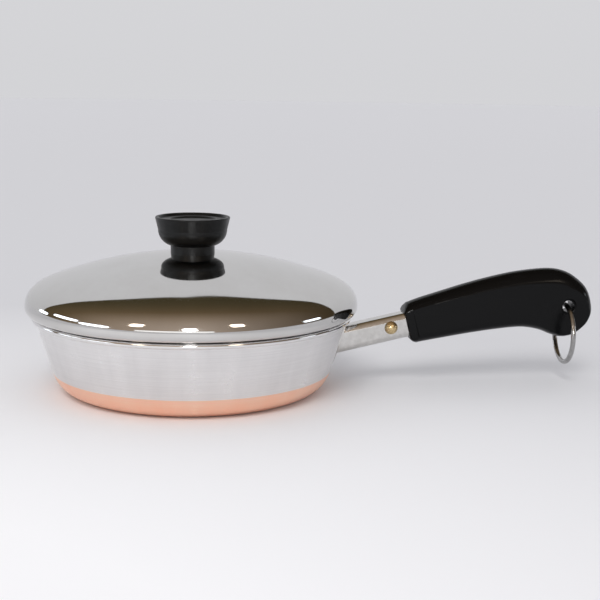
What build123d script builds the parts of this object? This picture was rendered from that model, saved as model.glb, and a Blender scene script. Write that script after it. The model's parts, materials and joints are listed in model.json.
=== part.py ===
from build123d import *
import math
import os

# Covered skillet: a drawn steel pan with a copper-clad base, a domed lid with a
# bowl-shaped knob, and a moulded grip on a folded bracket, with a hanging ring.
# Millimetres. The pan's axis is Z, the base stands on z = 0, the handle runs along +X.

os.makedirs("parts", exist_ok=True)

# ---- driving dimensions -------------------------------------------------------------
# pan
rim_height = 52.0           # top of the rolled rim
base_radius = 74.6          # flat of the base
base_corner_radius = 19.0
wall_taper = 16.7           # degrees out from vertical
pan_sheet = 1.25
bead_radius = 1.9           # rolled rim section
bead_circle_radius = 104.3  # radius of the rim's centre line
copper_height = 14.2
copper_thickness = 0.45

# lid
lid_rise = 39.5             # dome top above the rim
dome_radius = 270.0
shoulder_start_radius = 100.0
shoulder_radius = 16.2
lid_sheet = 0.9
seat_gap = 0.2              # lid seat above the rim
seat_width = 3.4
skirt_bend_radius = 1.4
skirt_depth = 6.5

# knob
knob_top_radius = 24.9
knob_height = 24.0
knob_waist_radius = 22.9    # where the bowl starts to turn in
knob_neck_radius = 14.6
knob_neck_height = 5.0
bowl_radius = 11.0          # turn from the bowl's side to the neck
knob_dish_radius = 22.6
knob_dish_depth = 1.6
knob_inner_dish_radius = 15.5
knob_dimple_radius = 5.0
knob_dimple_depth = 1.9
insert_radius = 4.5
insert_height = 13.0
screw_radius = 2.5
screw_head_radius = 4.6
screw_head_height = 2.8
washer_radius = 7.0
washer_thickness = 0.8

# handle bracket
bracket_tilt = 12.5         # degrees up from horizontal
bracket_reference = (120.0, 36.2)   # a point (x, z) on the bracket's centre line
bracket_width = 15.0
bracket_depth = 17.0
bracket_corner = 4.4
bracket_sheet = 1.2
bracket_slot = 5.0
bracket_start_x = 85.0      # inside the wall, before it is trimmed
bracket_end_x = 156.0
flange_half_width = 14.0
flange_top = 45.5
flange_shoulder = 30.0
flange_bottom = 15.9
tongue_half_width = 6.0
flange_corner = 3.5
flange_sheet = 1.1
flange_bend = 1.2

# tang and rivet
tang_clearance = 0.1
tang_depth = 10.0
tang_start_x = 116.0
tang_end_x = 206.0
tail_width = 8.0
tail_depth = 8.0
tang_key_radius = 2.2
tang_key_places = (172.0, 194.0)
rivet_place = (134.0, 40.4)
rivet_radius = 2.4
rivet_head_radius = 4.5
rivet_head_height = 2.6

# grip
grip_width = 18.5           # at the bracket end
grip_palm_width = 21.0
grip_palm_x = 220.0
grip_nose_width = 19.6
grip_edge_radius = 7.2
grip_end_edge_radius = 1.4
grip_tip_x = 276.0
grip_end = (145.0, 0, 41.5)     # middle of the end face
grip_end_normal = (0.969, 0, 0.246)
# side outline (x, z) from the back, round the nose and along the underside
grip_outline = [
    (130.0, 50.4),
    (152.0, 59.0),
    (188.0, 70.1),
    (224.0, 78.2),
    (243.0, 79.9),
    (263.6, 73.8),
    (grip_tip_x, 52.5),
    (266.0, 35.4),
    (253.0, 32.2),
    (239.0, 37.0),
    (222.0, 39.1),
    (190.0, 35.4),
    (160.0, 30.5),
    (130.0, 25.6),
]
dish_centre = (262.0, 39.0)
dish_radius = 27.0
dish_depth = 2.9

# hanging ring
ring_hole = (258.0, 54.0)
ring_hole_radius = 4.2
ring_radius = 20.0          # to the middle of the wire
ring_wire_radius = 1.7

# ---- worked-out places --------------------------------------------------------------
taper = math.radians(wall_taper)
corner_end = (
    base_radius + base_corner_radius * math.cos(taper),
    base_corner_radius * (1 - math.sin(taper)),
)
bead_centre_z = rim_height - bead_radius


def wall_radius(z):
    """Outer radius of the pan's wall at height z."""
    return corner_end[0] + (z - corner_end[1]) * math.tan(taper)


lid_top = rim_height + lid_rise
dome_centre_z = lid_top - dome_radius


def dome_height(radius, sphere_radius=dome_radius):
    """Height of the dome's surface at a radius from the axis."""
    return dome_centre_z + math.sqrt(sphere_radius**2 - radius**2)


def bracket_z(x):
    """Height of the bracket's centre line at x."""
    return bracket_reference[1] + (x - bracket_reference[0]) * math.tan(math.radians(bracket_tilt))


def finish_piece(piece, name):
    piece.part.label = name
    export_step(piece.part, f"parts/{name}.step")


# ---- pan ----------------------------------------------------------------------------
def wall_outline(inset, top):
    """The pan's outer line, moved inward by inset, from the axis up to height top."""
    radius = base_corner_radius - inset
    arc_centre = (base_radius, base_corner_radius)
    arc_end = (
        arc_centre[0] + radius * math.cos(taper),
        arc_centre[1] - radius * math.sin(taper),
    )
    top_point = (arc_end[0] + (top - arc_end[1]) * math.tan(taper), top)
    Line((0, inset), (base_radius, inset))
    RadiusArc((base_radius, inset), arc_end, -radius)
    Line(arc_end, top_point)
    return top_point


with BuildPart() as copper_base:
    with BuildSketch(Plane.XZ):
        with BuildLine():
            outer_top = wall_outline(0, copper_height)
            inner_top = wall_outline(copper_thickness, copper_height)
            Line((0, 0), (0, copper_thickness))
            Line(inner_top, outer_top)
        make_face()
    revolve(axis=Axis.Z)

with BuildPart() as pan_shell:
    with BuildSketch(Plane.XZ):
        with BuildLine():
            outer_top = wall_outline(0, bead_centre_z)
            inner_top = wall_outline(pan_sheet, bead_centre_z)
            Line((0, 0), (0, pan_sheet))
            Line(inner_top, outer_top)
        make_face()
        with Locations((bead_circle_radius, bead_centre_z)):
            Circle(bead_radius)
    revolve(axis=Axis.Z)
    add(copper_base.part, mode=Mode.SUBTRACT)

# the space the pan fills, used to trim what is welded to its wall
with BuildPart() as pan_envelope:
    with BuildSketch(Plane.XZ):
        with BuildLine():
            envelope_top = wall_outline(0, rim_height)
            Polyline(envelope_top, (0, rim_height), (0, 0))
        make_face()
    revolve(axis=Axis.Z)

# ---- lid ----------------------------------------------------------------------------
shoulder_angle = math.asin(shoulder_start_radius / dome_radius)
shoulder_centre = (
    shoulder_start_radius - shoulder_radius * math.sin(shoulder_angle),
    dome_height(shoulder_start_radius) - shoulder_radius * math.cos(shoulder_angle),
)
lid_radius = shoulder_centre[0] + shoulder_radius
seat_z = rim_height + seat_gap
curl_radius = shoulder_centre[1] - seat_z
curl_centre = (lid_radius - curl_radius, shoulder_centre[1])


def lid_outline(inset):
    """The lid sheet's outer line, moved inward by inset; returns its two ends."""
    dome_end = (
        shoulder_centre[0] + (shoulder_radius - inset) * math.sin(shoulder_angle),
        shoulder_centre[1] + (shoulder_radius - inset) * math.cos(shoulder_angle),
    )
    apex = (0, lid_top - inset)
    side = (lid_radius - inset, shoulder_centre[1])
    seat_outer = (curl_centre[0], seat_z + inset)
    bend = skirt_bend_radius + inset
    bend_centre = (seat_outer[0] - seat_width, seat_z - skirt_bend_radius)
    seat_inner = (bend_centre[0], seat_outer[1])
    skirt_top = (
        bend_centre[0] - bend * math.cos(taper),
        bend_centre[1] + bend * math.sin(taper),
    )
    skirt_end = (
        skirt_top[0] - skirt_depth * math.sin(taper),
        skirt_top[1] - skirt_depth * math.cos(taper),
    )
    RadiusArc(apex, dome_end, dome_radius - inset)
    RadiusArc(dome_end, side, shoulder_radius - inset)
    RadiusArc(side, seat_outer, curl_radius - inset)
    Line(seat_outer, seat_inner)
    RadiusArc(seat_inner, skirt_top, -bend)
    Line(skirt_top, skirt_end)
    return apex, skirt_end


with BuildPart() as lid_shell:
    with BuildSketch(Plane.XZ):
        with BuildLine():
            outer_apex, outer_end = lid_outline(0)
            inner_apex, inner_end = lid_outline(lid_sheet)
            Line(outer_apex, inner_apex)
            Line(inner_end, outer_end)
        make_face()
    revolve(axis=Axis.Z)
    with BuildSketch(Plane.XY.offset(lid_top)):
        Circle(screw_radius)
    extrude(amount=-4 * lid_sheet, mode=Mode.SUBTRACT)

# ---- knob ---------------------------------------------------------------------------
knob_top = lid_top + knob_height
neck_top = lid_top + knob_neck_height
screw_top = lid_top + insert_height - 1

with BuildPart() as knob_grip:
    with BuildSketch(Plane.XZ):
        with BuildLine():
            seat_edge = (knob_neck_radius, dome_height(knob_neck_radius))
            neck_end = (knob_neck_radius, neck_top)
            bowl_inset = knob_neck_radius - (knob_waist_radius - bowl_radius)
            bowl_side = (knob_waist_radius, neck_top + math.sqrt(bowl_radius**2 - bowl_inset**2))
            rim_outer = (knob_top_radius, knob_top)
            rim_inner = (knob_dish_radius, knob_top)
            dish_edge = (knob_dish_radius - 0.8, knob_top - knob_dish_depth)
            step_top = (knob_inner_dish_radius, knob_top - knob_dish_depth)
            step_foot = (knob_inner_dish_radius - 1.2, knob_top - 1.6 * knob_dish_depth)
            dimple_edge = (knob_dimple_radius, knob_top - 2.0 * knob_dish_depth)
            dimple_floor = (0, dimple_edge[1] - knob_dimple_depth)
            dimple_curve = (knob_dimple_radius**2 + knob_dimple_depth**2) / (2 * knob_dimple_depth)
            insert_top = (0, lid_top + insert_height)
            insert_rim = (insert_radius, lid_top + insert_height)
            insert_foot = (insert_radius, dome_height(insert_radius))
            Polyline(insert_foot, insert_rim, insert_top)
            RadiusArc(insert_foot, seat_edge, dome_radius)
            Line(seat_edge, neck_end)
            RadiusArc(neck_end, bowl_side, -bowl_radius)
            Line(bowl_side, rim_outer)
            Polyline(rim_outer, rim_inner, dish_edge, step_top, step_foot, dimple_edge)
            RadiusArc(dimple_edge, dimple_floor, dimple_curve)
            Line(dimple_floor, insert_top)
        make_face()
    revolve(axis=Axis.Z)
    rim_edges = knob_grip.edges().filter_by(GeomType.CIRCLE).group_by(Axis.Z)[-1]
    fillet(rim_edges, radius=0.7)

with BuildPart() as knob_insert:
    with BuildSketch(Plane.XY.offset(lid_top)):
        Circle(insert_radius)
        Circle(screw_radius, mode=Mode.SUBTRACT)
    extrude(amount=insert_height)
    with BuildSketch(Plane.XY.offset(screw_top)):
        Circle(screw_radius)
    extrude(amount=lid_top + insert_height - screw_top)

head_top = lid_top - lid_sheet - washer_thickness
with BuildPart() as knob_washer:
    with BuildSketch(Plane.XY.offset(head_top)):
        Circle(washer_radius)
        Circle(screw_radius, mode=Mode.SUBTRACT)
    extrude(amount=washer_thickness - 0.1)

with BuildPart() as knob_screw:
    with BuildSketch(Plane.XY.offset(head_top)):
        Circle(screw_radius)
    extrude(amount=screw_top - head_top)
    with BuildSketch(Plane.XY.offset(head_top)):
        Circle(screw_head_radius)
    extrude(amount=-screw_head_height)
    head_edge = knob_screw.edges().filter_by(GeomType.CIRCLE).group_by(Axis.Z)[0]
    fillet(head_edge, radius=1.6)
    with BuildSketch(Plane.XY.offset(head_top - screw_head_height)):
        Rectangle(2.5 * screw_head_radius, 1.2)
    extrude(amount=1.3, mode=Mode.SUBTRACT)

# ---- rivet --------------------------------------------------------------------------
with BuildPart() as bracket_rivet:
    with BuildSketch(Plane.XY.offset(rivet_place[1])):
        with BuildLine():
            head_curve = (rivet_head_radius**2 + rivet_head_height**2) / (2 * rivet_head_height)
            seat = bracket_width / 2
            crown = seat + rivet_head_height
            centre_x = rivet_place[0]
            Polyline(
                (centre_x + rivet_head_radius, seat),
                (centre_x + rivet_radius, seat),
                (centre_x + rivet_radius, -seat),
                (centre_x + rivet_head_radius, -seat),
            )
            RadiusArc((centre_x, crown), (centre_x + rivet_head_radius, seat), head_curve)
            RadiusArc((centre_x, -crown), (centre_x + rivet_head_radius, -seat), -head_curve)
            Line((centre_x, -crown), (centre_x, crown))
        make_face()
    revolve(axis=Axis((rivet_place[0], 0, rivet_place[1]), (0, 1, 0)))

# ---- handle bracket -----------------------------------------------------------------
tilt = math.radians(bracket_tilt)
along = Vector(math.cos(tilt), 0, math.sin(tilt))
across = Vector(0, 1, 0)


def bracket_plane(x):
    """Section plane across the bracket: local x is across, local y is up the section."""
    return Plane(origin=(x, 0, bracket_z(x)), x_dir=across, z_dir=along)


def bracket_run(start_x, end_x):
    """Length along the tilted bracket between two places on X."""
    return (end_x - start_x) / math.cos(tilt)


# curved plate that hugs the tapered wall, narrowing to a rounded tongue below
with BuildPart() as flange_plate:
    with BuildSketch(Plane.XZ):
        with BuildLine():
            band_bottom = wall_radius(flange_bottom - 1)
            band_top = wall_radius(flange_top + 1)
            band_width = flange_sheet / math.cos(taper)
            Polyline(
                (band_bottom, flange_bottom - 1),
                (band_bottom + band_width, flange_bottom - 1),
                (band_top + band_width, flange_top + 1),
                (band_top, flange_top + 1),
                close=True,
            )
        make_face()
    revolve(axis=Axis.Z)
    with BuildSketch(Plane.YZ.offset(bracket_start_x)):
        with BuildLine():
            Polyline(
                (-flange_half_width, flange_top),
                (flange_half_width, flange_top),
                (flange_half_width, flange_shoulder),
                (tongue_half_width, flange_bottom),
                (-tongue_half_width, flange_bottom),
                (-flange_half_width, flange_shoulder),
                close=True,
            )
        make_face()
        fillet(vertices(), radius=flange_corner)
    extrude(amount=bracket_width * 2, mode=Mode.INTERSECT)

with BuildPart() as handle_bracket:
    # folded channel, rounded along its corners
    with BuildSketch(bracket_plane(bracket_start_x)):
        RectangleRounded(bracket_width, bracket_depth, bracket_corner)
    extrude(amount=bracket_run(bracket_start_x, bracket_end_x))
    add(pan_envelope.part, mode=Mode.SUBTRACT)
    add(flange_plate.part)
    # bend where the channel's walls turn out into the flange
    fillet(handle_bracket.edges(Select.NEW), radius=flange_bend)
    # the channel is hollow and open along its underside
    with BuildSketch(bracket_plane(bracket_start_x)):
        RectangleRounded(
            bracket_width - 2 * bracket_sheet,
            bracket_depth - 2 * bracket_sheet,
            bracket_corner - bracket_sheet,
        )
        with Locations((0, -bracket_depth / 2)):
            Rectangle(bracket_slot, 4 * bracket_sheet)
    extrude(amount=bracket_run(bracket_start_x, bracket_end_x), mode=Mode.SUBTRACT)
    add(bracket_rivet.part, mode=Mode.SUBTRACT)

# ---- tang ---------------------------------------------------------------------------
tang_width = bracket_width - 2 * (bracket_sheet + tang_clearance)
with BuildPart() as handle_tang:
    with BuildSketch(bracket_plane(tang_start_x)):
        RectangleRounded(tang_width, tang_depth, 1.0)
    extrude(amount=bracket_run(tang_start_x, bracket_end_x))
    with BuildSketch(bracket_plane(bracket_end_x)):
        RectangleRounded(tail_width, tail_depth, 1.5)
    extrude(amount=bracket_run(bracket_end_x, tang_end_x))
    # cross holes that the moulding fills, so the grip can't pull off
    for key_x in tang_key_places:
        with BuildSketch(Plane.XZ):
            with Locations((key_x, bracket_z(key_x))):
                Circle(tang_key_radius)
        extrude(amount=bracket_width, both=True, mode=Mode.SUBTRACT)
    add(bracket_rivet.part, mode=Mode.SUBTRACT)

# ---- grip ---------------------------------------------------------------------------
with BuildPart() as grip_socket:
    with BuildSketch(bracket_plane(rivet_place[0])):
        RectangleRounded(bracket_width, bracket_depth, bracket_corner)
    extrude(amount=bracket_run(rivet_place[0], bracket_end_x))
    add(handle_tang.part)

with BuildPart() as handle_grip:
    # side outline: a rising back, a round nose over the ring, and a hooked underside
    with BuildSketch(Plane.XZ.offset(-grip_palm_width)):
        with BuildLine():
            outline = Spline(grip_outline)
            Line(outline @ 1, outline @ 0)
        make_face()
    extrude(amount=2 * grip_palm_width)
    # plan outline: narrow at the bracket and fuller in the palm
    with BuildSketch(Plane.XY):
        with BuildLine():
            plan_start = grip_outline[0][0] - 1
            plan_end = grip_tip_x + 10
            side = ThreePointArc(
                (plan_start, grip_width / 2),
                (grip_palm_x, grip_palm_width / 2),
                (plan_end, grip_nose_width / 2),
            )
            mirror(side, about=Plane.XZ)
            Line((plan_start, -grip_width / 2), (plan_start, grip_width / 2))
            Line((plan_end, -grip_nose_width / 2), (plan_end, grip_nose_width / 2))
        make_face()
    extrude(amount=2 * rim_height, mode=Mode.INTERSECT)
    long_edges = handle_grip.edges().sort_by(SortBy.LENGTH)[-2:]
    fillet(long_edges, radius=grip_edge_radius)
    # end face across the handle
    end_plane = Plane(origin=grip_end, x_dir=across, z_dir=grip_end_normal)
    split(bisect_by=end_plane, keep=Keep.TOP)
    end_edges = handle_grip.faces().sort_by(Axis.X)[0].edges()
    fillet(end_edges, radius=grip_end_edge_radius)
    # shallow dish on each side around the ring
    dish_curve = (dish_radius**2 + dish_depth**2) / (2 * dish_depth)
    for side_sign in (1, -1):
        dish_y = side_sign * (grip_palm_width / 2 - dish_depth + dish_curve)
        with Locations((dish_centre[0], dish_y, dish_centre[1])):
            Sphere(dish_curve, mode=Mode.SUBTRACT)
    with BuildSketch(Plane.XZ):
        with Locations(ring_hole):
            Circle(ring_hole_radius)
    extrude(amount=grip_palm_width, both=True, mode=Mode.SUBTRACT)
    add(grip_socket.part, mode=Mode.SUBTRACT)

# ---- hanging ring -------------------------------------------------------------------
ring_centre = (ring_hole[0], 0, ring_hole[1] - ring_radius)
with BuildPart(Plane(origin=ring_centre, x_dir=across, z_dir=(1, 0, 0))) as hanging_ring:
    Torus(ring_radius, ring_wire_radius)

# ---- export -------------------------------------------------------------------------
for piece, name in (
    (pan_shell, "pan_shell"),
    (copper_base, "copper_base"),
    (handle_bracket, "handle_bracket"),
    (handle_tang, "handle_tang"),
    (bracket_rivet, "bracket_rivet"),
    (handle_grip, "handle_grip"),
    (hanging_ring, "hanging_ring"),
    (lid_shell, "lid_shell"),
    (knob_grip, "knob_grip"),
    (knob_insert, "knob_insert"),
    (knob_screw, "knob_screw"),
    (knob_washer, "knob_washer"),
):
    finish_piece(piece, name)
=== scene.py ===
import json
import math

import bmesh
import bpy
from mathutils import Matrix, Vector


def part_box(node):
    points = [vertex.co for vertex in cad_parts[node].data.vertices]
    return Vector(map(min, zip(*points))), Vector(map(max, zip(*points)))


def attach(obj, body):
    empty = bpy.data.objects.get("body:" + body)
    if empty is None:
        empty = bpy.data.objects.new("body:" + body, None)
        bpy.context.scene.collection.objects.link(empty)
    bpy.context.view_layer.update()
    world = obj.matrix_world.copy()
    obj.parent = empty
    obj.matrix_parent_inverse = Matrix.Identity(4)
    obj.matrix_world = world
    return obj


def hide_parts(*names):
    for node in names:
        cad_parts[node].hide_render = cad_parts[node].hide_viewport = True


# Covered skillet: looks, stage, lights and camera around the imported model.
# Metres, except the grip, which is worked out in millimetres.

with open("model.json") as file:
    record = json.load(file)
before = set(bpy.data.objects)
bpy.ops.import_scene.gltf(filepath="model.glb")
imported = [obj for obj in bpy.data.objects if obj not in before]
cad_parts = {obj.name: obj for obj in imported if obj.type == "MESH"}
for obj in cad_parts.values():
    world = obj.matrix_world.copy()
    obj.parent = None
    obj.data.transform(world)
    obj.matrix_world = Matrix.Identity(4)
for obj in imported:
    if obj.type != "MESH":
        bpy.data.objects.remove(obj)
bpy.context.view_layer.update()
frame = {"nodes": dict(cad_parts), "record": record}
nodes = frame["nodes"]
scene = bpy.context.scene
scene.view_settings.view_transform = "Standard"

lid_low, lid_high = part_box("lid_shell")
pan_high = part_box("pan_shell")[1]
lid_radius = (lid_high.x - lid_low.x) / 2

# ---- camera -------------------------------------------------------------------------
camera_place = Vector((-0.0291, -0.8258, 0.2090))
camera_turn = math.radians(-7.0)     # about the vertical, towards the handle
camera_pitch = math.radians(10.24)   # down
camera_roll = math.radians(0.81)
camera_lens = 75.0
camera_sensor = 36.0


def make_camera():
    """A long lens, close to level, in front of the pan."""
    data = bpy.data.cameras.new("camera")
    data.lens = camera_lens
    data.sensor_width = camera_sensor
    camera = bpy.data.objects.new("camera", data)
    scene.collection.objects.link(camera)
    level = Matrix.Rotation(math.pi / 2 - camera_pitch, 4, "X")
    turned = Matrix.Rotation(camera_turn, 4, "Z") @ level @ Matrix.Rotation(camera_roll, 4, "Z")
    camera.matrix_world = Matrix.Translation(camera_place) @ turned
    scene.camera = camera


# ---- mesh helpers -------------------------------------------------------------------
def mesh_object(name, points, faces, smooth=True):
    mesh = bpy.data.meshes.new(name)
    mesh.from_pydata(points, [], faces)
    mesh.validate()
    if smooth:
        mesh.shade_smooth()
    made = bpy.data.objects.new(name, mesh)
    scene.collection.objects.link(made)
    return made


def grid_faces(columns, rows, closed=False):
    """Quads between neighbouring columns of a grid stored column by column."""
    faces = []
    for i in range(columns if closed else columns - 1):
        j = (i + 1) % columns
        for k in range(rows - 1):
            faces.append((i * rows + k, j * rows + k, j * rows + k + 1, i * rows + k + 1))
    return faces


# ---- material helpers ---------------------------------------------------------------
class Nodes:
    """A material's node tree with its Principled shader, and short ways to add to it."""

    def __init__(self, name, color, roughness, metallic=0.0):
        self.material = bpy.data.materials.new(name)
        self.material.use_nodes = True
        self.tree = self.material.node_tree
        self.shader = self.tree.nodes["Principled BSDF"]
        self.set("Base Color", (*color, 1.0))
        self.set("Roughness", roughness)
        self.set("Metallic", metallic)
        self.place = self.tree.nodes.new("ShaderNodeTexCoord").outputs["Object"]

    def set(self, socket, value):
        self.shader.inputs[socket].default_value = value

    def link(self, output, socket):
        self.tree.links.new(output, socket)

    def math(self, operation, first, second=0.0):
        node = self.tree.nodes.new("ShaderNodeMath")
        node.operation = operation
        for socket, value in zip(node.inputs, (first, second)):
            if isinstance(value, (int, float)):
                socket.default_value = value
            else:
                self.link(value, socket)
        return node.outputs[0]

    def scaled(self, scale, place=None):
        """Coordinates stretched by a scale for each axis."""
        node = self.tree.nodes.new("ShaderNodeMapping")
        node.inputs["Scale"].default_value = scale
        self.link(place or self.place, node.inputs["Vector"])
        return node.outputs[0]

    def round_axis(self, turn_scale, radius_scale, height_scale):
        """Coordinates that run around the Z axis, out from it and up it."""
        split = self.tree.nodes.new("ShaderNodeSeparateXYZ")
        self.link(self.place, split.inputs[0])
        x, y, z = split.outputs
        squares = self.math("ADD", self.math("MULTIPLY", x, x), self.math("MULTIPLY", y, y))
        radius = self.math("SQRT", squares)
        turn = self.math("ARCTAN2", y, x)
        join = self.tree.nodes.new("ShaderNodeCombineXYZ")
        self.link(self.math("MULTIPLY", turn, turn_scale), join.inputs[0])
        self.link(self.math("MULTIPLY", radius, radius_scale), join.inputs[1])
        self.link(self.math("MULTIPLY", z, height_scale), join.inputs[2])
        return join.outputs[0]

    def noise(self, place, scale=1.0, detail=3.0, roughness=0.5):
        node = self.tree.nodes.new("ShaderNodeTexNoise")
        node.inputs["Scale"].default_value = scale
        node.inputs["Detail"].default_value = detail
        node.inputs["Roughness"].default_value = roughness
        self.link(place, node.inputs["Vector"])
        return node.outputs["Fac"]

    def spread(self, value, low, high, start=0.3, end=0.7):
        """Maps a value from start..end onto low..high."""
        node = self.tree.nodes.new("ShaderNodeMapRange")
        self.link(value, node.inputs["Value"])
        node.inputs["From Min"].default_value = start
        node.inputs["From Max"].default_value = end
        node.inputs["To Min"].default_value = low
        node.inputs["To Max"].default_value = high
        return node.outputs[0]

    def above(self, height, below_value, above_value):
        """One value below a height and another above it."""
        split = self.tree.nodes.new("ShaderNodeSeparateXYZ")
        self.link(self.place, split.inputs[0])
        return self.spread(split.outputs[2], below_value, above_value, height, height + 0.0002)

    def blend(self, value, first, second):
        """A colour between two colours."""
        node = self.tree.nodes.new("ShaderNodeMix")
        node.data_type = "RGBA"
        self.link(value, node.inputs["Factor"])
        for index, color in zip((6, 7), (first, second)):
            if isinstance(color, tuple):
                node.inputs[index].default_value = (*color, 1.0)
            else:
                self.link(color, node.inputs[index])
        return node.outputs[2]

    def color(self, output):
        self.link(output, self.shader.inputs["Base Color"])

    def rough(self, output):
        self.link(output, self.shader.inputs["Roughness"])

    def bump(self, height, depth, strength=1.0):
        node = self.tree.nodes.new("ShaderNodeBump")
        node.inputs["Distance"].default_value = depth
        node.inputs["Strength"].default_value = strength
        self.link(height, node.inputs["Height"])
        self.link(node.outputs[0], self.shader.inputs["Normal"])


polish_ratio = 0.22          # roughness of polished metal as a share of brushed metal's


def brushed_round(name, dark, light, roughness, anisotropy, grain_depth, polished_above=None):
    """Metal brushed around the pan's axis, with fine rings, cloudy patches and soft streaks.

    Above the height polished_above, if given, it is polished, as the rolled rim is.
    """
    made = Nodes(name, light, roughness, metallic=1.0)
    rings = made.noise(made.round_axis(1.5, 2600.0, 2600.0), detail=4.0, roughness=0.65)
    bands = made.noise(made.round_axis(9.0, 12.0, 12.0), detail=3.0)
    clouds = made.noise(made.place, scale=38.0, detail=4.0)
    mixed = made.math("ADD", made.math("MULTIPLY", rings, 0.45), made.math("MULTIPLY", bands, 0.30))
    mixed = made.math("ADD", mixed, made.math("MULTIPLY", clouds, 0.25))
    made.color(made.blend(made.spread(mixed, 0.0, 1.0), dark, light))
    rough = made.spread(mixed, roughness * 1.22, roughness * 0.80)
    if polished_above is not None:
        rough = made.math("MULTIPLY", rough, made.above(polished_above, 1.0, polish_ratio))
    made.rough(rough)
    made.bump(rings, grain_depth, 0.5)
    tangent = made.tree.nodes.new("ShaderNodeTangent")
    tangent.direction_type = "RADIAL"
    tangent.axis = "Z"
    made.link(tangent.outputs[0], made.shader.inputs["Tangent"])
    made.set("Anisotropic", anisotropy)
    return made.material


def polished_round(name, dark, light, roughness):
    """Mirror polish on a spun sheet: faint polishing rings, hairline scratches and a few smears."""
    made = Nodes(name, light, roughness, metallic=1.0)
    rings = made.noise(made.round_axis(1.2, 1500.0, 1500.0), detail=3.0, roughness=0.6)
    smears = made.noise(made.scaled((30.0, 18.0, 30.0)), detail=5.0, roughness=0.6)
    scratch_place = made.noise(made.scaled((420.0, 60.0, 420.0)), detail=2.0)
    scratches = made.spread(scratch_place, 0.0, 1.0, 0.66, 0.74)
    rough = made.spread(smears, roughness * 0.7, roughness * 1.5)
    made.rough(made.math("ADD", rough, made.math("MULTIPLY", scratches, 0.05)))
    made.color(made.blend(made.spread(smears, 0.0, 1.0), dark, light))
    made.bump(rings, 0.000002, 0.25)
    return made.material


def plain_metal(name, dark, light, roughness, grain_scale, grain_depth):
    """Small metal pieces: a fine lengthwise grain, light mottling and small dents."""
    made = Nodes(name, light, roughness, metallic=1.0)
    grain = made.noise(made.scaled((grain_scale, grain_scale * 6.0, grain_scale * 6.0)), detail=4.0)
    mottle = made.noise(made.place, scale=grain_scale * 2.0, detail=4.0)
    made.color(made.blend(made.spread(mottle, 0.0, 1.0), dark, light))
    made.rough(made.spread(grain, roughness * 0.75, roughness * 1.35))
    made.bump(grain, grain_depth, 0.4)
    return made.material


def moulded(name, color, worn, roughness, pore_depth, sheen_scale, specular):
    """Black thermoset moulding: fine pores, hand-rubbed shine in patches and hairline scuffs."""
    made = Nodes(name, color, roughness)
    pores = made.noise(made.place, scale=1900.0, detail=3.0, roughness=0.6)
    rubbed = made.noise(made.place, scale=sheen_scale, detail=4.0)
    scuff_place = made.noise(made.scaled((60.0, 700.0, 700.0)), detail=3.0)
    scuffs = made.spread(scuff_place, 0.0, 1.0, 0.62, 0.78)
    rough = made.spread(rubbed, roughness * 0.78, roughness * 1.25)
    made.rough(made.math("ADD", rough, made.math("MULTIPLY", scuffs, 0.08)))
    made.color(made.blend(made.math("MULTIPLY", scuffs, 0.5), color, worn))
    made.bump(pores, pore_depth, 0.35)
    made.set("Specular IOR Level", specular)
    return made.material


rim_polish_height = pan_high.z - 0.0040    # the rolled rim is polished

materials = {
    "pan_steel": brushed_round(
        "pan_steel", (0.70, 0.69, 0.69), (0.88, 0.87, 0.87), 0.30, 0.6, 0.00001, rim_polish_height
    ),
    "copper": brushed_round("copper", (0.975, 0.56, 0.40), (0.99, 0.71, 0.56), 0.32, 0.45, 0.00001),
    "lid_steel": polished_round("lid_steel", (0.60, 0.59, 0.575), (0.655, 0.65, 0.64), 0.05),
    "bracket_steel": plain_metal(
        "bracket_steel", (0.58, 0.57, 0.55), (0.68, 0.67, 0.65), 0.10, 160.0, 0.000004
    ),
    "hardware_steel": plain_metal(
        "hardware_steel", (0.42, 0.42, 0.41), (0.56, 0.56, 0.55), 0.35, 220.0, 0.00001
    ),
    "ring_steel": plain_metal(
        "ring_steel", (0.34, 0.335, 0.33), (0.46, 0.455, 0.45), 0.16, 240.0, 0.000006
    ),
    "rivet_brass": plain_metal("rivet_brass", (0.56, 0.42, 0.22), (0.74, 0.59, 0.34), 0.26, 300.0, 0.00002),
    "phenolic": moulded(
        "phenolic", (0.0020, 0.0022, 0.0025), (0.009, 0.009, 0.009), 0.20, 0.000005, 55.0, 0.17
    ),
    "knob_phenolic": moulded(
        "knob_phenolic", (0.0036, 0.0046, 0.0054), (0.022, 0.022, 0.022), 0.36, 0.000008, 90.0, 0.30
    ),
}


cad_sharp_angle = math.radians(28.0)


def dress_cad_nodes():
    """Gives each CAD node the material of its slot, with smooth shading between sharp edges."""
    for part in frame["record"]["subparts"]:
        node = nodes[part["node"]]
        node.data.materials.clear()
        node.data.materials.append(materials[part["material_slot"]])
        node.data.shade_smooth()
        node.data.set_sharp_from_angle(angle=cad_sharp_angle)


# ---- lid ----------------------------------------------------------------------------
mm = 0.001
dome_radius = 270.0 * mm
dome_edge = 80.0 * mm          # the spherical crown ends here and the shoulder begins
shoulder_pull_in = 0.64        # handle lengths of the shoulder's curve, this one a share of its reach
shoulder_pull_up = 13.0 * mm
widest_height = 57.25 * mm     # where the lid is widest
lid_sheet = 0.9 * mm
seat_gap = 0.65 * mm           # between the pan's rim and the lid's seat
seat_width = 3.4 * mm
skirt_bend = 1.4 * mm
skirt_depth = 6.5 * mm
wall_taper = math.radians(16.7)
screw_radius = 2.5 * mm
crown_steps = 40
shoulder_steps = 64
curl_steps = 16
bend_steps = 10
lid_segments = 256
lid_sharp_angle = math.radians(50.0)


def arc(centre, radius, start, end, steps):
    """Points (radius, height) on an arc; angles are from the outward direction, in radians."""
    made = []
    for i in range(steps + 1):
        angle = start + (end - start) * i / steps
        made.append((centre[0] + radius * math.cos(angle), centre[1] + radius * math.sin(angle)))
    return made


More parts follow.
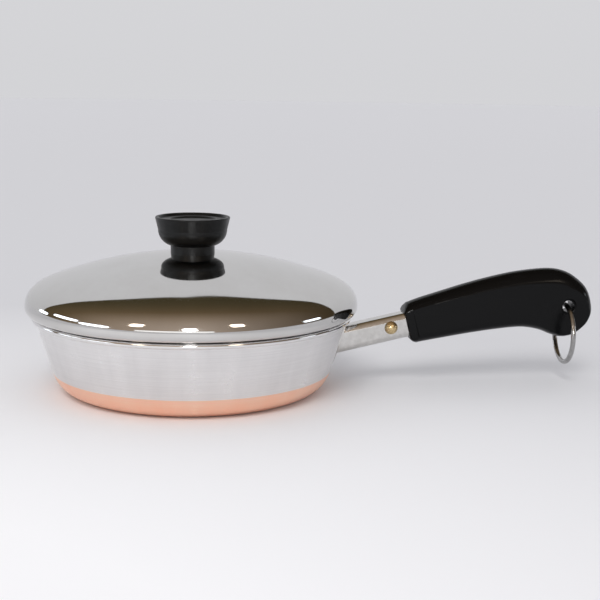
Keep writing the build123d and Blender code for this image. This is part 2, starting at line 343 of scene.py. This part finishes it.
def shoulder_curve(start):
    """Points from the crown's edge to the lid's widest place, smooth with the crown and the curl."""
    slope = -dome_edge / math.sqrt(dome_radius**2 - dome_edge**2)
    pull_in = start + Vector((1.0, slope)) * (lid_radius - dome_edge) * shoulder_pull_in
    end = Vector((lid_radius, widest_height))
    pull_up = end + Vector((0.0, shoulder_pull_up))
    made = []
    for i in range(1, shoulder_steps + 1):
        t = i / shoulder_steps
        u = 1 - t
        made.append(tuple(start * u**3 + pull_in * 3 * u * u * t + pull_up * 3 * u * t * t + end * t**3))
    return made


def lid_line():
    """The lid sheet's outer line: crown, shoulder, curl, seat and skirt."""
    dome_centre = lid_high.z - dome_radius
    crown_start = math.acos(screw_radius / dome_radius)
    crown_end = math.acos(dome_edge / dome_radius)
    line = arc((0.0, dome_centre), dome_radius, crown_start, crown_end, crown_steps)
    line += shoulder_curve(Vector(line[-1]))
    seat = pan_high.z + seat_gap
    curl = widest_height - seat
    line += arc((lid_radius - curl, widest_height), curl, 0.0, -math.pi / 2, curl_steps)[1:]
    bend_centre = (lid_radius - curl - seat_width, seat - skirt_bend)
    line += arc(bend_centre, skirt_bend, math.pi / 2, math.pi - wall_taper, bend_steps)
    bend_end = line[-1]
    skirt_in = skirt_depth * math.sin(wall_taper)
    skirt_down = skirt_depth * math.cos(wall_taper)
    line.append((bend_end[0] - skirt_in, bend_end[1] - skirt_down))
    return line


def inner_line(line, thickness):
    """The other face of a sheet whose outer line is given."""
    made = []
    for i, point in enumerate(line):
        before = Vector(line[max(i - 1, 0)])
        after = Vector(line[min(i + 1, len(line) - 1)])
        along = (after - before).normalized()
        made.append((point[0] + along.y * thickness, point[1] - along.x * thickness))
    return made


def revolve(name, profile, columns):
    """A closed profile of (radius, height) turned about the Z axis."""
    points = []
    for i in range(columns):
        turn = 2 * math.pi * i / columns
        points += [(r * math.cos(turn), r * math.sin(turn), z) for r, z in profile]
    rows = len(profile)
    faces = grid_faces(columns, rows, closed=True)
    for i in range(columns):
        j = (i + 1) % columns
        faces.append((i * rows + rows - 1, j * rows + rows - 1, j * rows, i * rows))
    return mesh_object(name, points, faces)


def outward(made):
    """Turns every face to the outside."""
    work = bmesh.new()
    work.from_mesh(made.data)
    bmesh.ops.recalc_face_normals(work, faces=work.faces)
    work.to_mesh(made.data)
    work.free()


def make_lid():
    """The lid sheet, its curvature running smoothly from crown to shoulder for clean reflections."""
    outer = lid_line()
    inner = inner_line(outer, lid_sheet)
    lid = revolve("lid_dome", outer + inner[::-1], lid_segments)
    outward(lid)
    lid.data.set_sharp_from_angle(angle=lid_sharp_angle)
    lid.data.materials.append(materials["lid_steel"])
    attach(lid, "lid")
    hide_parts("lid_shell")


# ---- grip ---------------------------------------------------------------------------
# side outline (x, z) in millimetres: along the back to the nose's tip, then back along the underside
grip_back = [
    (141.65, 54.7), (152.0, 59.0), (168.8, 64.3), (188.0, 70.1), (207.0, 74.9), (224.0, 78.2),
    (243.0, 79.9), (254.5, 78.4), (263.6, 73.8), (272.3, 65.2), (276.0, 52.5),
]
grip_under = [
    (276.0, 52.5), (273.2, 42.5), (266.0, 35.4), (259.8, 32.6), (253.0, 32.2), (246.3, 34.1),
    (239.0, 37.0), (230.0, 38.8), (222.0, 39.1), (208.0, 37.8), (190.0, 35.4), (170.0, 32.1),
    (148.35, 28.3),
]
end_half_width = 9.25
palm_half_width = 10.5
nose_half_width = 9.8
palm_x = 220.0
dish_centre = Vector((262.0, 39.0))
dish_radius = 27.0
dish_depth = 2.9
ring_hole = (258.0, 54.0)
ring_hole_radius = 4.2
mouth_width = 0.7              # rounding of the hole's mouth
mouth_depth = 0.8
mouth_top = palm_half_width - dish_depth + 0.1
cutter_reach = 14.0            # the hole's cutter ends out here, wider by its flare
cutter_flare = 4.0
mouth_steps = 5
hole_segments = 48
stations = 110                 # steps along the back, and as many along the underside
grip_columns = 20              # steps up the end face
round_steps = 12
grip_sharp_angle = math.radians(32.0)
# rounding of the edge: how far in it reaches, how square it is (2 is round) and where it stops, in degrees
under_rounding = (6.0, 2.2, 86.0)
end_rounding = (1.9, 7.0, 88.0)
ridge_reach = 4.9              # the back's rounding ends in a soft ridge, further in towards the nose
ridge_gain = 3.4
ridge_gain_start = 150.0
ridge_gain_length = 90.0
ridge_stop = 64.0
nose_stop = 80.0
nose_start = 250.0
curve_steps = 20


def curve_point(a, b, c, d, t):
    """A place between b and c on a smooth curve through all four."""
    bend = 2 * a - 5 * b + 4 * c - d
    twist = 3 * b - a - 3 * c + d
    return 0.5 * (2 * b + (c - a) * t + bend * t**2 + twist * t**3)


def even_points(points, count, before=None, after=None):
    """Points spaced evenly on a smooth curve through the given ones; before and after steer its ends."""
    knots = [Vector(p) for p in points]
    first = Vector(before) if before else 2 * knots[0] - knots[1]
    last = Vector(after) if after else 2 * knots[-1] - knots[-2]
    knots = [first] + knots + [last]
    dense = []
    for i in range(1, len(knots) - 2):
        dense += [curve_point(*knots[i - 1:i + 3], k / curve_steps) for k in range(curve_steps)]
    dense.append(knots[-2])
    lengths = [0.0]
    for a, b in zip(dense, dense[1:]):
        lengths.append(lengths[-1] + (b - a).length)
    made = []
    k = 0
    for i in range(count + 1):
        target = lengths[-1] * i / count
        while k < len(dense) - 2 and lengths[k + 1] < target:
            k += 1
        share = (target - lengths[k]) / (lengths[k + 1] - lengths[k])
        made.append(dense[k].lerp(dense[k + 1], min(max(share, 0.0), 1.0)))
    return made


def half_width(x):
    """Half the grip's width at x, fullest in the palm."""
    if x < palm_x:
        share = (palm_x - x) / (palm_x - grip_back[0][0])
        return palm_half_width + (end_half_width - palm_half_width) * share**2
    share = (x - palm_x) / (grip_back[-1][0] - palm_x)
    return palm_half_width + (nose_half_width - palm_half_width) * share**2


def dish(point):
    """Depth of the round dish in the grip's side around the ring."""
    away = (point - dish_centre).length / dish_radius
    return dish_depth * max(0.0, 1.0 - away * away)


def blurred(values, passes):
    """A closed list of numbers smoothed along its length."""
    for _ in range(passes):
        count = len(values)
        values = [(values[i - 1] + 2 * values[i] + values[(i + 1) % count]) / 4 for i in range(count)]
    return values


def grip_loop():
    """The grip's outline as a loop of back, underside and end face, with its edges' rounding."""
    back = even_points(grip_back, stations, after=grip_under[1])
    under = even_points(grip_under, stations, before=grip_back[-2])
    end = [under[-1].lerp(back[0], k / grip_columns) for k in range(1, grip_columns)]
    loop = back + under[1:] + end
    rounding = []
    for point in back:
        gain = min(1.0, max(0.0, (point.x - ridge_gain_start) / ridge_gain_length))
        stop = ridge_stop if point.x < nose_start else nose_stop
        rounding.append((ridge_reach + ridge_gain * gain, 2.0, stop))
    rounding += [under_rounding] * stations + [end_rounding] * len(end)
    reaches, squares, stops = zip(*rounding)
    for corner in (0, 2 * stations):
        for _ in range(6):
            for step in (0, 1, -1, 2, -2):
                i = (corner + step) % len(loop)
                loop[i] = (loop[i - 1] + loop[(i + 1) % len(loop)]) / 2
    return loop, blurred(reaches, 14), blurred(squares, 8), blurred(stops, 20)


def edge_points(point, inward, reach, square, stop):
    """The rounded edge at one place of the outline, from the grip's middle plane to its flat side."""
    stop = math.radians(stop)
    power = 2.0 / square
    made = []
    for step in range(round_steps + 1):
        angle = stop * step / round_steps
        wide = (math.sin(angle) / math.sin(stop)) ** power
        deep = (1 - math.cos(angle) ** power) / (1 - math.cos(stop) ** power)
        place = point + inward * reach * deep
        limit = half_width(place.x)
        made.append((place.x, min(wide * limit, limit - dish(place)), place.y))
    return made


def mirrored(points, faces):
    """Points and faces with their mirror image across the plane y = 0, joined along it."""
    points = list(points)
    twin = {}
    for k in range(len(points)):
        x, y, z = points[k]
        twin[k] = k
        if y > 0.0:
            twin[k] = len(points)
            points.append((x, -y, z))
    return points, faces + [tuple(twin[k] for k in face) for face in faces]


def grip_half():
    """Points and faces of the grip's half with y above 0: the rounded edge, then the side inside it."""
    loop, reaches, squares, stops = grip_loop()
    count = len(loop)
    rows = round_steps + 1
    points = []
    side_border = []
    for i in range(count):
        along = (loop[(i + 1) % count] - loop[i - 1]).normalized()
        inward = Vector((along.y, -along.x))
        points += edge_points(loop[i], inward, reaches[i], squares[i], stops[i])
        side_border.append(loop[i] + inward * reaches[i])
    faces = grid_faces(count, rows, closed=True)
    side_start = len(points)
    for station in range(1, stations):
        top = side_border[station]
        low = side_border[2 * stations - station]
        for column in range(1, grip_columns):
            place = low.lerp(top, column / grip_columns)
            points.append((place.x, half_width(place.x) - dish(place), place.y))

    def side_index(station, column):
        """Index of a place on the side's grid, which shares its border with the rounded edge."""
        if station == stations or column == grip_columns:
            return station * rows + round_steps
        if column == 0:
            return (2 * stations - station) * rows + round_steps
        if station == 0:
            return (2 * stations + column) * rows + round_steps
        return side_start + (station - 1) * (grip_columns - 1) + column - 1

    for station in range(stations):
        for column in range(grip_columns):
            near = [side_index(station, column), side_index(station + 1, column)]
            painted_falloff = [side_index(station + 1, column + 1), side_index(station, column + 1)]
            faces.append(tuple(dict.fromkeys(near + painted_falloff)))
    return points, faces


def make_grip():
    """Moulded grip: crowned back down to a soft ridge, flat sides dished round the ring, rounded nose."""
    points, faces = mirrored(*grip_half())
    grip = mesh_object("grip", [Vector(point) * mm for point in points], faces)
    outward(grip)
    cut_ring_hole(grip)
    grip.data.shade_smooth()
    grip.data.set_sharp_from_angle(angle=grip_sharp_angle)
    grip.data.materials.clear()
    grip.data.materials.append(materials["phenolic"])
    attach(grip, "pan")
    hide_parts("handle_grip")


def cut_ring_hole(grip):
    """Cuts the ring's hole, with a rounded mouth on each side."""
    profile = [(ring_hole_radius + cutter_flare, cutter_reach)]
    for k in range(mouth_steps + 1):
        angle = math.pi / 2 * k / mouth_steps
        radius = ring_hole_radius + mouth_width * (1 - math.sin(angle))
        profile.append((radius, mouth_top - mouth_depth * (1 - math.cos(angle))))
    profile += [(r, -y) for r, y in profile[::-1]]
    points = []
    for i in range(hole_segments):
        turn = 2 * math.pi * i / hole_segments
        for r, y in profile:
            x = ring_hole[0] + r * math.cos(turn)
            z = ring_hole[1] + r * math.sin(turn)
            points.append((x * mm, y * mm, z * mm))
    rows = len(profile)
    faces = grid_faces(hole_segments, rows, closed=True)
    faces.append(tuple(i * rows for i in range(hole_segments)))
    faces.append(tuple(i * rows + rows - 1 for i in range(hole_segments)))
    cutter = mesh_object("hole_cutter", points, faces, smooth=False)
    outward(cutter)
    cut = grip.modifiers.new("hole", "BOOLEAN")
    cut.operation = "DIFFERENCE"
    cut.solver = "EXACT"
    cut.object = cutter
    bpy.context.view_layer.update()
    cut_mesh = bpy.data.meshes.new_from_object(grip.evaluated_get(bpy.context.evaluated_depsgraph_get()))
    grip.modifiers.clear()
    grip.data = cut_mesh
    bpy.data.objects.remove(cutter)


# ---- stage --------------------------------------------------------------------------
floor_radii = (0.0001, 0.1, 0.25, 0.5, 1.0, 2.5, 9.0)
floor_columns = 96
# painted pool of light on the floor: its painted lit colour near the pool and its painted dimmer colour
# farther away
painted_lit_floor = (0.97, 0.965, 0.975)
painted_dim_floor = (0.665, 0.665, 0.685)
painted_light_centre = (-0.28, -0.50)      # the painted pool of light on the floor is brightest around this place
painted_light_inner = 0.30
painted_light_outer = 0.82


def make_floor():
    """Pale paper floor with a painted pool of light: brightest in front of the pan and painted greyer
    behind it.
    """
    points = []
    for i in range(floor_columns):
        turn = 2 * math.pi * i / floor_columns
        points += [(r * math.cos(turn), r * math.sin(turn), 0.0) for r in floor_radii]
    floor = mesh_object("floor", points, grid_faces(floor_columns, len(floor_radii), closed=True))
    paper = Nodes("paper", painted_lit_floor, 0.85)
    paper.set("Specular IOR Level", 0.1)
    offset = paper.tree.nodes.new("ShaderNodeVectorMath")
    offset.operation = "SUBTRACT"
    offset.inputs[1].default_value = (*painted_light_centre, 0.0)
    paper.link(paper.place, offset.inputs[0])
    distance = paper.tree.nodes.new("ShaderNodeVectorMath")
    distance.operation = "LENGTH"
    paper.link(offset.outputs[0], distance.inputs[0])
    # painted light and shade: the floor's colour runs from lit to dim with distance from the pool's centre
    painted_falloff = paper.spread(distance.outputs["Value"], 0.0, 1.0, painted_light_inner, painted_light_outer)
    paper.color(paper.blend(painted_falloff, painted_lit_floor, painted_dim_floor))
    paper.bump(paper.noise(paper.place, scale=420.0, detail=3.0), 0.0002, 0.3)
    floor.data.materials.append(paper.material)


def glossy_only(made):
    """Leaves the object visible to reflections alone."""
    made.visible_camera = False
    made.visible_diffuse = False
    made.visible_shadow = False
    made.visible_transmission = False
    made.visible_volume_scatter = False


def emission(name, color, strength):
    """A material that glows; also its tree and its glow node."""
    material = bpy.data.materials.new(name)
    material.use_nodes = True
    tree = material.node_tree
    tree.nodes.remove(tree.nodes["Principled BSDF"])
    glow = tree.nodes.new("ShaderNodeEmission")
    glow.inputs["Color"].default_value = (*color, 1.0)
    glow.inputs["Strength"].default_value = strength
    tree.links.new(glow.outputs[0], tree.nodes["Material Output"].inputs["Surface"])
    return material, tree, glow


room_radius = 5.0
room_centre = Vector((0.0, 0.0, lid_low.z))
sheet_left = math.radians(59.0)        # how far the pale sheet behind the pan reaches, seen from the lid
sheet_right = math.radians(70.5)
sheet_crown = 47.0                     # its height straight behind, in degrees above the horizon
sheet_fall = 0.18                      # how much of that it loses per degree to the side
sheet_corner = 7                       # how square its two top corners are
room_front = math.radians(1.5)         # lower edge of the room where no sheet stands
room_steps = 120                       # round the front, and as many across the sheet
room_rows = 24
right_dimming = 0.45                   # the room's light at its right wall, beside its middle
shades_start = 0.66                    # y where the shades begin and end, in room radii
shades_end = -0.98
room_shades = (                        # from behind the pan, over the top, to the front
    (0.0, (0.070, 0.056, 0.029)),
    (0.30, (0.160, 0.112, 0.062)),
    (0.62, (0.330, 0.250, 0.180)),
    (1.0, (0.500, 0.405, 0.330)),
)


def direction(turn, rise):
    """Unit vector; turn is from -Y towards +X and rise is above the horizon."""
    flat = math.cos(rise)
    return Vector((math.sin(turn) * flat, -math.cos(turn) * flat, math.sin(rise)))


def sheet_top(behind, reach):
    """Height of the pale sheet at an angle away from straight behind, down to nothing at its reach."""
    side_end = math.sqrt(max(0.0, 1.0 - (behind / reach) ** sheet_corner))
    return math.radians((sheet_crown - sheet_fall * math.degrees(behind)) * side_end)


def make_room():
    """The dim room around the stage, seen only in reflections, open where the pale sheet stands."""
    left_end = -(math.pi - sheet_left)
    right_end = math.pi - sheet_right
    columns = []
    for i in range(room_steps + 1):
        columns.append((left_end + (right_end - left_end) * i / room_steps, room_front))
    for i in range(room_steps + 1):
        turn = right_end + (sheet_right + sheet_left) * i / room_steps
        reach = sheet_right if turn < math.pi else sheet_left
        columns.append((turn, max(room_front, sheet_top(abs(math.pi - turn), reach))))
    points = []
    for turn, low in columns:
        for k in range(room_rows):
            rise = low + (math.pi / 2 - low) * k / (room_rows - 1)
            points.append(room_centre + room_radius * direction(turn, rise))
    room = mesh_object("room", points, grid_faces(len(columns), room_rows, closed=True))
    material, tree, glow = emission("room", room_shades[0][1], 1.0)
    split = tree.nodes.new("ShaderNodeSeparateXYZ")
    tree.links.new(tree.nodes.new("ShaderNodeTexCoord").outputs["Object"], split.inputs[0])
    forward = tree.nodes.new("ShaderNodeMapRange")
    forward.inputs["From Min"].default_value = room_radius * shades_start
    forward.inputs["From Max"].default_value = room_radius * shades_end
    tree.links.new(split.outputs["Y"], forward.inputs["Value"])
    ramp = tree.nodes.new("ShaderNodeValToRGB")
    for extra in room_shades[1:-1]:
        ramp.color_ramp.elements.new(extra[0])
    for element, (position, color) in zip(ramp.color_ramp.elements, room_shades):
        element.position = position
        element.color = (*color, 1.0)
    tree.links.new(forward.outputs[0], ramp.inputs["Fac"])
    tree.links.new(ramp.outputs[0], glow.inputs["Color"])
    dim = tree.nodes.new("ShaderNodeMapRange")
    dim.inputs["From Min"].default_value = 0.0
    dim.inputs["From Max"].default_value = room_radius
    dim.inputs["To Min"].default_value = 1.0
    dim.inputs["To Max"].default_value = right_dimming
    tree.links.new(split.outputs["X"], dim.inputs["Value"])
    tree.links.new(dim.outputs[0], glow.inputs["Strength"])
    room.data.materials.append(material)
    glossy_only(room)


card_distance = 0.9                    # in room radii
card_sides = 24


def make_glow_card(name, turn, rise, width, height, color, strength):
    """A window or lamp in the room: a small lit card facing the pan, seen only in reflections."""
    distance = room_radius * card_distance
    out = direction(math.radians(turn), math.radians(rise))
    side = out.cross(Vector((0, 0, 1))).normalized()
    up = side.cross(out)
    half_width = distance * math.tan(math.radians(width / 2))
    half_height = distance * math.tan(math.radians(height / 2))
    centre = room_centre + distance * out
    points = []
    for i in range(card_sides):
        angle = 2 * math.pi * i / card_sides
        across = math.copysign(math.sqrt(abs(math.cos(angle))), math.cos(angle))
        along = math.copysign(math.sqrt(abs(math.sin(angle))), math.sin(angle))
        points.append(centre + side * half_width * across + up * half_height * along)
    card = mesh_object(name, points, [tuple(range(card_sides))])
    card.data.materials.append(emission(name, color, strength)[0])
    glossy_only(card)


# turn, rise, width and height in degrees, colour, strength
daylight = (0.86, 0.93, 1.0)
lamp = (1.0, 0.86, 0.70)
glow_cards = {
    "window_left_far": (-120.0, 6.5, 12.0, 6.0, daylight, 4.0),
    "window_left": (-96.0, 12.0, 24.0, 7.0, daylight, 4.0),
    "window_left_near": (-70.0, 7.0, 24.0, 7.0, daylight, 3.5),
    "lamp_left": (-41.0, 26.0, 9.0, 13.0, lamp, 5.0),
    "flash": (-3.9, 13.5, 8.0, 11.0, (1.0, 1.0, 1.0), 24.0),
    "strip_front": (-14.0, 4.6, 64.0, 5.0, (1.0, 1.0, 1.0), 1.5),
    "lamp_right": (29.0, 27.0, 9.0, 13.0, lamp, 5.0),
    "window_right": (85.0, 8.5, 16.0, 6.0, daylight, 3.5),
}


horizon_color = (0.655, 0.655, 0.675)
sky_color = (0.80, 0.80, 0.82)
key_from = Vector((-0.35, -1.0, 1.05))
key_strength = 1.0
key_softness = math.radians(24.0)


def make_light():
    """Soft light from all round, a little brighter overhead, and a soft key over the camera."""
    world = bpy.data.worlds.new("studio")
    world.use_nodes = True
    tree = world.node_tree
    split = tree.nodes.new("ShaderNodeSeparateXYZ")
    tree.links.new(tree.nodes.new("ShaderNodeTexCoord").outputs["Generated"], split.inputs[0])
    shade = tree.nodes.new("ShaderNodeMix")
    shade.data_type = "RGBA"
    shade.inputs[6].default_value = (*horizon_color, 1.0)
    shade.inputs[7].default_value = (*sky_color, 1.0)
    tree.links.new(split.outputs["Z"], shade.inputs["Factor"])
    tree.links.new(shade.outputs[2], tree.nodes["Background"].inputs["Color"])
    scene.world = world
    data = bpy.data.lights.new("key", "SUN")
    data.energy = key_strength
    data.angle = key_softness
    data.color = (1.0, 0.99, 0.975)
    key = bpy.data.objects.new("key", data)
    scene.collection.objects.link(key)
    key.rotation_mode = "QUATERNION"
    key.rotation_quaternion = (-key_from).to_track_quat("-Z", "Y")
    key.visible_glossy = False


make_camera()
dress_cad_nodes()
make_lid()
make_grip()
make_floor()
make_room()
for card_name, card in glow_cards.items():
    make_glow_card(card_name, *card)
make_light()
